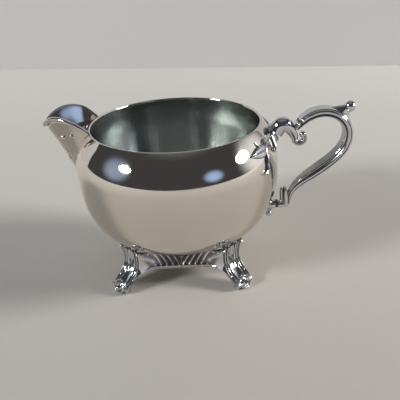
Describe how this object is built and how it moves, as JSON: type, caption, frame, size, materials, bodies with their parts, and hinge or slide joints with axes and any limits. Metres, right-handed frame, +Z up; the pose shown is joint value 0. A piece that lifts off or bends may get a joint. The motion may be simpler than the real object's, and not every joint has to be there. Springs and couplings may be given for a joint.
{
  "type": "footed creamer",
  "caption": "Round silver-plated cream jug with a pinched spout, a heart-shaped scroll handle, leaf sprays and a square apron base on splayed scroll feet.",
  "frame": {"origin": "on the table, under the middle of the object's box", "axes": "+X from the spout to the handle, +Z up, so the near side in the picture is -Y"},
  "size_m": [0.1546, 0.102, 0.0868],
  "materials": {
    "polished_silver": "mirror-polished silver plate on sheet metal, satin on the inside of the bowl",
    "cast_silver": "bright silver plate on castings, with dark tarnish in the recesses"
  },
  "bodies": {
    "root": {"bowl": "polished_silver", "spout": "polished_silver", "spout_lip_wire": "polished_silver", "handle_collar": "cast_silver", "handle_upper_bracket": "cast_silver", "handle_strap": "cast_silver", "handle_thumb_knob": "cast_silver", "handle_lower_bracket": "cast_silver", "handle_calyx": "cast_silver", "handle_drop": "cast_silver", "leaf_branch_near": "cast_silver", "leaf_branch_far": "cast_silver", "foot_back_handle": "cast_silver", "foot_back_spout": "cast_silver", "foot_front_spout": "cast_silver", "foot_front_handle": "cast_silver"}
  },
  "joints": []
}
